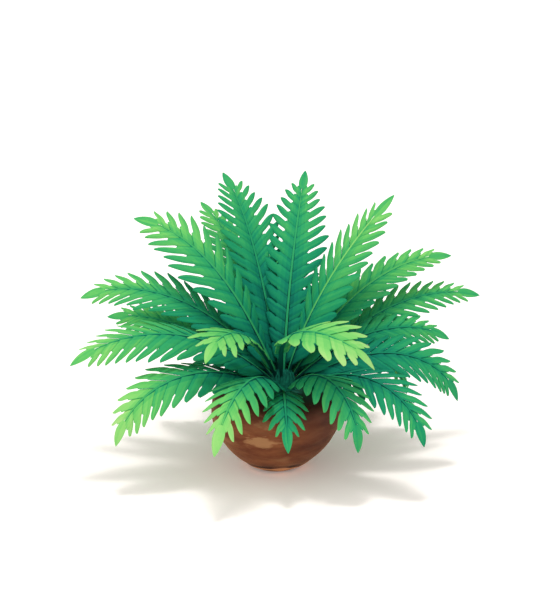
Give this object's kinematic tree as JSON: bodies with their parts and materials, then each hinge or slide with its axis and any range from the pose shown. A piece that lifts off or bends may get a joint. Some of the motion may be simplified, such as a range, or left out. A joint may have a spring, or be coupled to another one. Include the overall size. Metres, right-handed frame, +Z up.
{
  "type": "cycad",
  "caption": "Squat cycad: a round brown trunk on a flat foot, carrying a full crown of arching, feather-cut green fronds.",
  "frame": {"origin": "centre of the flat cut under the trunk, at ground level", "axes": "+Z up; -Y towards the viewer of the picture, +X to that viewer's right"},
  "size_m": [1.43, 1.2443, 0.9641],
  "materials": {
    "bark": "rough, wrinkled bark in broad light and dark streaks",
    "bud": "matt, scaly",
    "leaf": "leathery leaf, satin, teal green at the crown to yellow green at the tips"
  },
  "bodies": {
    "root": {"back_frond_1": "leaf", "back_frond_10_end": "leaf", "back_frond_10_foot": "leaf", "back_frond_2": "leaf", "back_frond_3_end": "leaf", "back_frond_3_foot": "leaf", "back_frond_4_end": "leaf", "back_frond_4_foot": "leaf", "back_frond_5_end": "leaf", "back_frond_5_foot": "leaf", "back_frond_6_end": "leaf", "back_frond_6_foot": "leaf", "back_frond_7_end": "leaf", "back_frond_7_foot": "leaf", "back_frond_8_end": "leaf", "back_frond_8_foot": "leaf", "back_frond_9_end": "leaf", "back_frond_9_foot": "leaf", "front_frond_left_end": "leaf", "front_frond_left_foot": "leaf", "front_frond_middle": "leaf", "front_frond_right_end": "leaf", "front_frond_right_foot": "leaf", "growing_point": "bud", "middle_frond_1": "leaf", "middle_frond_2": "leaf", "middle_frond_3": "leaf", "middle_frond_4": "leaf", "middle_frond_5": "leaf", "middle_frond_6": "leaf", "middle_frond_7": "leaf", "outer_frond_1_end": "leaf", "outer_frond_1_foot": "leaf", "outer_frond_2_end": "leaf", "outer_frond_2_foot": "leaf", "outer_frond_3_end": "leaf", "outer_frond_3_foot": "leaf", "trunk": "bark", "upper_frond_behind": "leaf", "upper_frond_left": "leaf", "upper_frond_middle": "leaf", "upper_frond_right": "leaf", "young_frond_left_end": "leaf", "young_frond_left_foot": "leaf", "young_frond_right_end": "leaf", "young_frond_right_foot": "leaf"}
  },
  "joints": []
}
